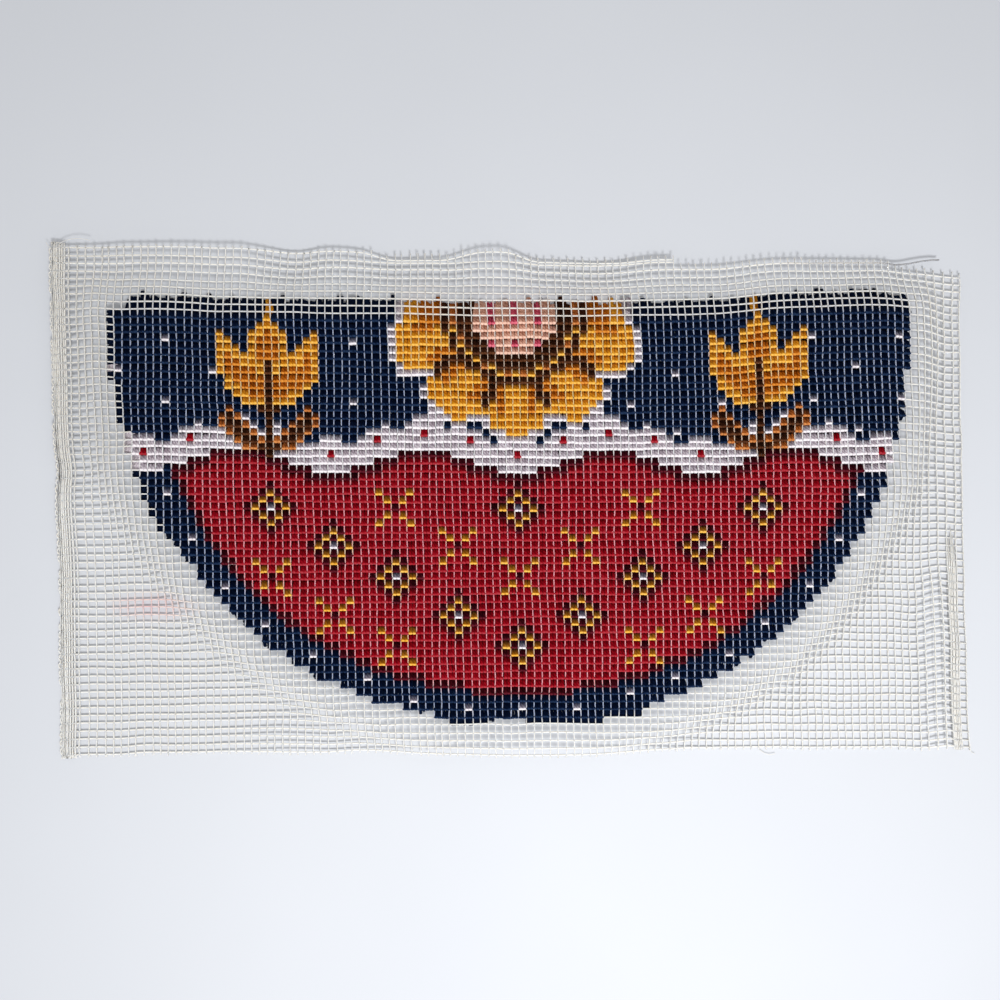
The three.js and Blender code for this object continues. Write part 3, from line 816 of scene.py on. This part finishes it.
centres, sides_of, wide_of, thick_of, tone_of, colour_of = [], [], [], [], [], []
whole = RNG.normal(0, 1, (COUNT, 8))
for strand in (-1, 1):
    g = RNG.normal(0, 1, (COUNT, 12))
    p, x, y, n = cloth_frame(knot_c, knot_r + off_row)
    side_shift = strand * 1.58 + 0.12 * whole[:, 0] + 0.07 * g[:, 0]
    shift_y = 0.11 * whole[:, 1] + 0.07 * g[:, 1]
    lift = 0.06 * whole[:, 2] + 0.07 * g[:, 2]
    fat = 1 + 0.05 * whole[:, 3] + 0.05 * g[:, 3]
    lean_x = 1.6 * whole[:, 4] + 2.3 * g[:, 4]
    lean_y = LEAN + 1.4 * whole[:, 5] + 2.2 * g[:, 5]
    # at the two ends of a row the tufts spread past their knots
    left, right = from_left, from_right
    upper_part = 1 - smooth((knot_r - 44) / 8)
    lean_x = lean_x - np.where(left < 2.0, 1.0 + 5.0 * upper_part + 0.7 * g[:, 6], 0)
    lean_x = lean_x + np.where(right < 1.0, 1.0 + 2.5 * upper_part + 0.8 * g[:, 6], 0)
    corner = (knot_c < 11) & (knot_r < FIRST_ROW + 3)
    lean_y = np.where(corner, lean_y * 0.40 * (1 + 0.15 * g[:, 7]) + 2.0 * (knot_r - FIRST_ROW), lean_y)
    corner = (knot_c > 110) & (knot_r < FIRST_ROW + 3)
    lean_y = np.where(corner, lean_y * 0.70, lean_y)
    first = knot_r < FIRST_ROW + 2
    lean_x = np.where(first & (left > 2), lean_x * 0.5, lean_x)
    spread = np.where(first | (left < 1.0), 1.25, 1.0)
    rings, wides, thicks = [], [], []
    for j, (along_y, off, wide, thick) in enumerate(STRAND):
        narrow = 1.0 if j < 4 else 0.96
        rings.append(p + x * (side_shift * narrow)[:, None] + y * (along_y + shift_y)[:, None] + n * (off + lift * (j > 0))[:, None])
        wides.append(wide * fat)
        thicks.append(thick * fat)
    flat_y = unit(y * np.array([1, 1, 0]))
    flat_x = unit(x * np.array([1, 1, 0]))
    half_share = HALF_LEAN / LEAN
    down = p[:, 2] - 9.0 + 0.9 * g[:, 9]
    mid = p + flat_x * (side_shift + lean_x * 0.50)[:, None] + flat_y * (lean_y * half_share)[:, None]
    mid[:, 2] = np.maximum(down, 3.4)
    tip = p + flat_x * (side_shift * 0.9 + lean_x)[:, None] + flat_y * lean_y[:, None]
    tip[:, 2] = 1.64 + np.clip(1.3 + 1.2 * g[:, 10], 0, 3.6)
    rings += [mid, tip]
    wides += [1.60 * fat * spread, 1.95 * fat * spread]
    thicks += [1.40 * fat, 1.35 * fat]
    centres.append(np.stack(rings, 1))
    wides, thicks = np.stack(wides, 1), np.stack(thicks, 1)
    wide_of.append(wides)
    thick_of.append(thicks)
    sides_of.append(np.repeat(x[:, None, :], len(STRAND) + 2, 1))
    tone_of.append(np.clip(0.5 + 0.16 * whole[:, 6] + 0.12 * g[:, 11], 0, 1))
    colour_of.append(knot_colour)

centres, sides_of = np.concatenate(centres), np.concatenate(sides_of)
wide_of, thick_of = np.concatenate(wide_of), np.concatenate(thick_of)
tone_of, colour_of = np.concatenate(tone_of), np.concatenate(colour_of)
column_of = np.concatenate([knot_c, knot_c])
# painted shade: a light knot among dark ones is painted darker between its bar and the next weft, where the darker
# knots round it shade it
LIGHTNESS = np.array([0.02, 0.11, 0.75, 0.40, 0.25, 0.03, 0.04, 0.20, 0.55, 0.20])
light_of = LIGHTNESS[COLOUR_OF]
padded = np.pad(light_of, 1, mode="edge")
around = 0.4 * padded[:-2, 1:-1] + 0.25 * padded[1:-1, :-2] + 0.25 * padded[1:-1, 2:] + 0.1 * padded[2:, 1:-1]
shaded_of = np.clip(1 - around / light_of, 0, 1)[tied]
shaded_of = np.clip(shaded_of * (0.80 + 0.45 * shaded_of), 0, 1)
shaded_of = np.concatenate([shaded_of, shaded_of])

# yarn that has worked out past the knots at the edges of the field and lies close under
# the bare canvas there: (knots, way it leans, where across, reach, spread of the reach)
edge_tufts = {}
draw = RNG.random((COUNT, 4))
low_rows = smooth((knot_r - 36) / 8)
upper_side = (knot_r == FIRST_ROW) & (knot_c > 8.9)
upper_end = (knot_r == FIRST_ROW) & (from_right < 1.0)
left_side = (from_left < 1.0) & ((knot_r < 40) | (draw[:, 0] < 0.30))
right_side = (from_right < 1.0) & ((knot_r < 36) | (draw[:, 1] < 0.30))
loose_below = is_last & (((knot_c > 50) & (knot_c < 55)) | ((knot_c > 60) & (knot_c < 76)))
few_below = is_last & ~loose_below & (draw[:, 2] < 0.16)
TUFTS = [
    (upper_side, "up", (-2.6, -0.9, 0.9, 2.6), 19.8, 0.9),
    (upper_end, "up", (4.3, 6.0), 20.4, 0.9),
    (left_side, "left", (0.6, 2.3, 4.0, 5.7), 11.2, 0.5),
    (right_side, "right", (1.3,), 5.2, 0.8),
    (right_side, "right", (4.0,), 3.0, 0.9),
    (loose_below, "down", (-2.6, -0.9, 0.9, 2.6), 7.4, 0.4),
    (few_below, "down", (-1.2, 1.2), 4.0, 1.2),
]
for group, way, places, reach_out, spread_out in TUFTS:
    for aside in places:
        c0, r0, colour0 = knot_c[group], knot_r[group], knot_colour[group]
        m = len(c0)
        g = RNG.normal(0, 1, (m, 6))
        p, x, y, n = cloth_frame(c0, r0)
        flat_x, flat_y = unit(x * np.array([1, 1, 0])), unit(y * np.array([1, 1, 0]))
        out, across = {"up": (flat_y, flat_x), "down": (-flat_y, flat_x), "left": (-flat_x, flat_y),
                       "right": (flat_x, flat_y)}[way]
        reach_of = reach_out + spread_out * g[:, 1]
        if way == "up":
            stages = [(0.15, -4.0), (0.55, -8.5), (1.0, None)]
        elif way == "down":
            stages = [(0.15, -2.4), (0.50, -3.2), (1.0, -5.0)]
        else:
            reach_of = reach_of * (1 - 0.45 * low_rows[group])
            stages = [(0.12, -2.2), (0.50, -3.2), (1.0, -5.0)]
        path = []
        for share_of, drop in stages:
            q = p + across * (aside + 0.25 * g[:, 0])[:, None] + out * (reach_of * share_of)[:, None]
            q[:, 2] = np.maximum(p[:, 2] + drop + 0.3 * g[:, 4], 3.2) if drop is not None else 2.6 + 0.4 * g[:, 2]
            path.append(q)
        path = np.stack(path, 1)
        side = np.cross(unit(path[:, 2] - path[:, 0]), np.array([0, 0, 1.0]))
        new = [path, np.repeat(side[:, None, :], 3, 1), np.tile([1.45, 1.75, 1.55], (m, 1)),
               np.tile([1.1, 1.25, 1.1], (m, 1)), c0, np.clip(0.42 + 0.12 * g[:, 3], 0, 1)]
        for colour in np.unique(colour0):
            at = colour0 == colour
            if colour in edge_tufts:
                edge_tufts[colour] = [np.concatenate([a, b[at]]) for a, b in zip(edge_tufts[colour], new)]
            else:
                edge_tufts[colour] = [b[at] for b in new]

MATERIALS = {
    NAVY: ("yarn_navy", yarn_material("strand_navy", srgb(4, 16, 42), srgb(1, 7, 26), srgb(34, 52, 82))),
    RED: ("yarn_red", yarn_material("strand_red", srgb(153, 7, 25), srgb(99, 1, 9), srgb(170, 56, 66))),
    WHITE: ("yarn_white", yarn_material("strand_white", srgb(214, 206, 215), srgb(146, 132, 144), srgb(252, 248, 252))),
    GOLD: ("yarn_gold", yarn_material("strand_gold", srgb(224, 152, 34), srgb(172, 98, 5), srgb(246, 196, 96))),
    ORANGE: ("yarn_gold", yarn_material("strand_amber", srgb(186, 98, 14), srgb(108, 46, 0), srgb(224, 150, 64))),
    MAROON: ("yarn_maroon", yarn_material("strand_maroon", srgb(62, 8, 18), srgb(24, 1, 5), srgb(98, 30, 42))),
    BROWN: ("yarn_brown", yarn_material("strand_brown", srgb(58, 28, 14), srgb(22, 8, 4), srgb(98, 60, 38))),
    TAN: ("yarn_brown", yarn_material("strand_tan", srgb(176, 96, 40), srgb(104, 48, 14), srgb(212, 142, 84))),
    PEACH: ("yarn_peach", yarn_material("strand_peach", srgb(224, 172, 150), srgb(160, 106, 84), srgb(246, 210, 192))),
    PINK: ("yarn_peach", yarn_material("strand_pink", srgb(198, 74, 98), srgb(130, 30, 50), srgb(228, 122, 140))),
}
SPLIT = {NAVY: (0, 48, 72, 119), RED: (0, 59.6, 119)}
total = canvas.triangles()
most = total
for colour, (slot_name, material) in MATERIALS.items():
    cuts = SPLIT.get(colour, (0, 119))
    for part in range(len(cuts) - 1):
        pick = (colour_of == colour) & (column_of >= cuts[part]) & (column_of < cuts[part + 1])
        if not pick.any():
            continue
        yarn = Threads()
        # per ring: painted shade from darker knots round it (colour) and the painted crown highlight and dive shade
        # (share)
        painted_light_of_rings = np.ones((int(pick.sum()), len(PAINTED_CROWN_LIGHT), 4))
        painted_light_of_rings[..., :3] = 1 - PAINTED_BODY_SHADE[None, :, None] * shaded_of[pick][:, None, None] * np.array(
            [0.985, 0.965, 0.89] if colour == WHITE else [0.93, 0.97, 0.80])
        painted_light_of_rings[..., 3] = PAINTED_CROWN_LIGHT
        yarn.add(centres[pick], sides_of[pick], wide_of[pick], thick_of[pick], 5, tone_of[pick],
                 start_turn=0.05, along_from=40 * tone_of[pick], tint=painted_light_of_rings)
        extra = edge_tufts.get(colour)
        if extra is not None:
            inside = (extra[4] >= cuts[part]) & (extra[4] < cuts[part + 1])
            if inside.any():
                plain = np.ones((int(inside.sum()), 3, 4))
                plain[..., 3] = 0
                yarn.add(extra[0][inside], extra[1][inside], extra[2][inside], extra[3][inside], 5, extra[5][inside],
                         tint=plain)
        label = material.name.replace("strand_", "pile_") + (f"_{part + 1}" if len(cuts) > 2 else "")
        piece = yarn.mesh(label, material)
        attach(piece, "root")
        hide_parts("pile")
        total += yarn.triangles()
        most = max(most, yarn.triangles())
print(f"knots {COUNT}, canvas triangles {canvas.triangles()}, largest piece {most}, total {total}")

# ------------------------------------------------------------------ floor, light
floor_mesh = bpy.data.meshes.new("floor")
floor_mesh.from_pydata([(-6, -6, 0), (6, -6, 0), (6, 6, 0), (-6, 6, 0)], [], [(0, 1, 2, 3)])
floor = bpy.data.objects.new("floor", floor_mesh)
bpy.context.scene.collection.objects.link(floor)
floor_material, tree, shader = new_material("floor")
grain = node(tree, "ShaderNodeTexNoise", Scale=3.0, Detail=3.0)
tree.links.new(tree.nodes.new("ShaderNodeTexCoord").outputs["Object"], grain.inputs["Vector"])
tint = ramp(tree, [(0.3, (0.618, 0.646, 0.700, 1)), (0.7, (0.638, 0.667, 0.722, 1))])
tree.links.new(grain.outputs["Fac"], tint.inputs[0])
tree.links.new(tint.outputs[0], shader.inputs["Base Color"])
shader.inputs["Roughness"].default_value = 0.7
shader.inputs["Specular IOR Level"].default_value = 0.15
floor_mesh.materials.append(floor_material)


def area_light(name, azimuth, elevation, distance, size, power, colour, target=(0, 0, 0)):
    data = bpy.data.lights.new(name, "AREA")
    data.shape, data.size, data.size_y = "RECTANGLE", size[0], size[1]
    data.energy, data.color = power, colour
    o = bpy.data.objects.new(name, data)
    a, e = math.radians(azimuth), math.radians(elevation)
    way = np.array([math.sin(a) * math.cos(e), -math.cos(a) * math.cos(e), math.sin(e)])
    at = np.array(target) + way * distance
    z = unit(way)
    side = unit(np.cross([0, 0, 1.0], z))
    up = np.cross(z, side)
    o.matrix_world = Matrix([[side[i], up[i], z[i], at[i]] for i in range(3)] + [[0, 0, 0, 1]])
    bpy.context.scene.collection.objects.link(o)
    return o


# azimuth 0 is light from -Y, 90 from +X
area_light("window", 15, 60, 1.3, (0.27, 0.21), 11.9, (1.0, 0.99, 0.975))
world = bpy.data.worlds.new("world")
bpy.context.scene.world = world
world.use_nodes = True
sky = world.node_tree.nodes["Background"]
sky.inputs[0].default_value = (1.0, 0.985, 0.965, 1)
sky.inputs[1].default_value = 0.66

bpy.context.scene.view_settings.view_transform = "Standard"
bpy.context.scene.view_settings.look = "None"
bpy.context.scene.view_settings.exposure = 0.0
